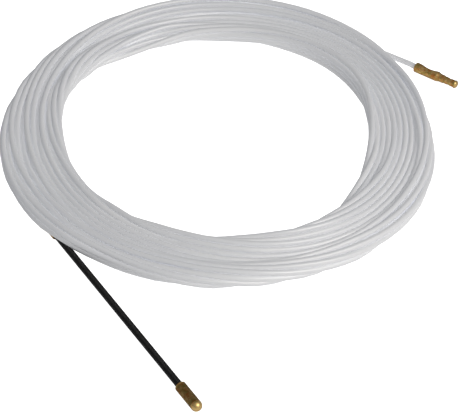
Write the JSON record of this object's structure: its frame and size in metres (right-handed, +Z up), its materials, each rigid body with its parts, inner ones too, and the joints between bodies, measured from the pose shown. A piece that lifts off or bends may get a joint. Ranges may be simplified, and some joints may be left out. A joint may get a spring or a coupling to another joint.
{
  "type": "fish tape",
  "caption": "Loose coil of nylon fish tape with a flexible spring leader and domed nose on one end and a brass pulling eye on the other.",
  "frame": {"origin": "on the surface it lies on, under the middle of the whole part", "axes": "+Z up from the surface; +Y along the longest way of the part, from the leader nose towards the coil; +X towards the side where the eye fitting lies"},
  "size_m": [0.3198, 0.3908, 0.0143],
  "materials": {
    "nylon": "natural nylon monofilament, frosted white and slightly translucent, satin",
    "brass": "turned brass with fine tool marks, slightly darkened",
    "black_spring": "blackened close-wound spring steel, satin",
    "cable_steel": "bright steel wire rope"
  },
  "bodies": {
    "root": {"tape_coil": "nylon", "tape_rear_end": "nylon", "tape_front_end": "nylon", "eye_fitting": "brass", "leader_ferrule": "brass", "leader_spring_01": "black_spring", "safety_cable_01": "cable_steel"},
    "leader_02": {"leader_spring_02": "black_spring", "safety_cable_02": "cable_steel"},
    "leader_03": {"leader_spring_03": "black_spring", "safety_cable_03": "cable_steel"},
    "leader_04": {"leader_spring_04": "black_spring", "safety_cable_04": "cable_steel"},
    "leader_05": {"leader_spring_05": "black_spring", "safety_cable_05": "cable_steel"},
    "leader_06": {"leader_spring_06": "black_spring", "safety_cable_06": "cable_steel"},
    "leader_07": {"leader_spring_07": "black_spring", "safety_cable_07": "cable_steel"},
    "leader_08": {"leader_spring_08": "black_spring", "safety_cable_08": "cable_steel"},
    "leader_09": {"leader_spring_09": "black_spring", "safety_cable_09": "cable_steel"},
    "leader_10": {"leader_spring_10": "black_spring", "safety_cable_10": "cable_steel"},
    "leader_11": {"leader_spring_11": "black_spring", "safety_cable_11": "cable_steel"},
    "leader_12": {"leader_spring_12": "black_spring", "safety_cable_12": "cable_steel"},
    "leader_13": {"leader_spring_13": "black_spring", "safety_cable_13": "cable_steel", "leader_nose": "brass"}
  },
  "joints": [
    {"name": "leader_side_01", "type": "hinge", "parent": "root", "child": "leader_02", "pos_m": [-0.10199, -0.0681, 0.00355], "axis": [0.0017, -0.0025, 1], "range_deg": [-15, 7.5], "stiffness_Nm_per_rad": 0.1},
    {"name": "leader_lift_01", "type": "hinge", "parent": "leader_02", "child": "leader_03", "pos_m": [-0.09605, -0.07711, 0.00355], "axis": [-0.8348, -0.5505, 0], "range_deg": [0, 12], "stiffness_Nm_per_rad": 0.1},
    {"name": "leader_side_02", "type": "hinge", "parent": "leader_03", "child": "leader_04", "pos_m": [-0.0901, -0.08613, 0.00355], "axis": [0.0017, -0.0025, 1], "range_deg": [-15, 7.5], "stiffness_Nm_per_rad": 0.1},
    {"name": "leader_lift_02", "type": "hinge", "parent": "leader_04", "child": "leader_05", "pos_m": [-0.08415, -0.09515, 0.00355], "axis": [-0.8348, -0.5505, 0], "range_deg": [0, 12], "stiffness_Nm_per_rad": 0.1},
    {"name": "leader_side_03", "type": "hinge", "parent": "leader_05", "child": "leader_06", "pos_m": [-0.07821, -0.10416, 0.00355], "axis": [0.0017, -0.0025, 1], "range_deg": [-15, 7.5], "stiffness_Nm_per_rad": 0.1},
    {"name": "leader_lift_03", "type": "hinge", "parent": "leader_06", "child": "leader_07", "pos_m": [-0.07226, -0.11318, 0.00355], "axis": [-0.8348, -0.5505, 0], "range_deg": [0, 12], "stiffness_Nm_per_rad": 0.1},
    {"name": "leader_side_04", "type": "hinge", "parent": "leader_07", "child": "leader_08", "pos_m": [-0.06632, -0.12219, 0.00355], "axis": [0.0017, -0.0025, 1], "range_deg": [-15, 7.5], "stiffness_Nm_per_rad": 0.1},
    {"name": "leader_lift_04", "type": "hinge", "parent": "leader_08", "child": "leader_09", "pos_m": [-0.06037, -0.13121, 0.00355], "axis": [-0.8348, -0.5505, 0], "range_deg": [0, 12], "stiffness_Nm_per_rad": 0.1},
    {"name": "leader_side_05", "type": "hinge", "parent": "leader_09", "child": "leader_10", "pos_m": [-0.05443, -0.14023, 0.00355], "axis": [0.0017, -0.0025, 1], "range_deg": [-15, 7.5], "stiffness_Nm_per_rad": 0.1},
    {"name": "leader_lift_05", "type": "hinge", "parent": "leader_10", "child": "leader_11", "pos_m": [-0.04848, -0.14924, 0.00355], "axis": [-0.8348, -0.5505, 0], "range_deg": [0, 12], "stiffness_Nm_per_rad": 0.1},
    {"name": "leader_side_06", "type": "hinge", "parent": "leader_11", "child": "leader_12", "pos_m": [-0.04254, -0.15826, 0.00355], "axis": [0.0017, -0.0025, 1], "range_deg": [-15, 7.5], "stiffness_Nm_per_rad": 0.1},
    {"name": "leader_lift_06", "type": "hinge", "parent": "leader_12", "child": "leader_13", "pos_m": [-0.03659, -0.16728, 0.00355], "axis": [-0.8348, -0.5505, 0], "range_deg": [0, 12], "stiffness_Nm_per_rad": 0.1}
  ],
  "couplings": [
    {"joint": "leader_side_02", "follows": "leader_side_01", "ratio": 1},
    {"joint": "leader_lift_02", "follows": "leader_lift_01", "ratio": 1},
    {"joint": "leader_side_03", "follows": "leader_side_01", "ratio": 1},
    {"joint": "leader_lift_03", "follows": "leader_lift_01", "ratio": 1},
    {"joint": "leader_side_04", "follows": "leader_side_01", "ratio": 1},
    {"joint": "leader_lift_04", "follows": "leader_lift_01", "ratio": 1},
    {"joint": "leader_side_05", "follows": "leader_side_01", "ratio": 1},
    {"joint": "leader_lift_05", "follows": "leader_lift_01", "ratio": 1},
    {"joint": "leader_side_06", "follows": "leader_side_01", "ratio": 1},
    {"joint": "leader_lift_06", "follows": "leader_lift_01", "ratio": 1}
  ]
}
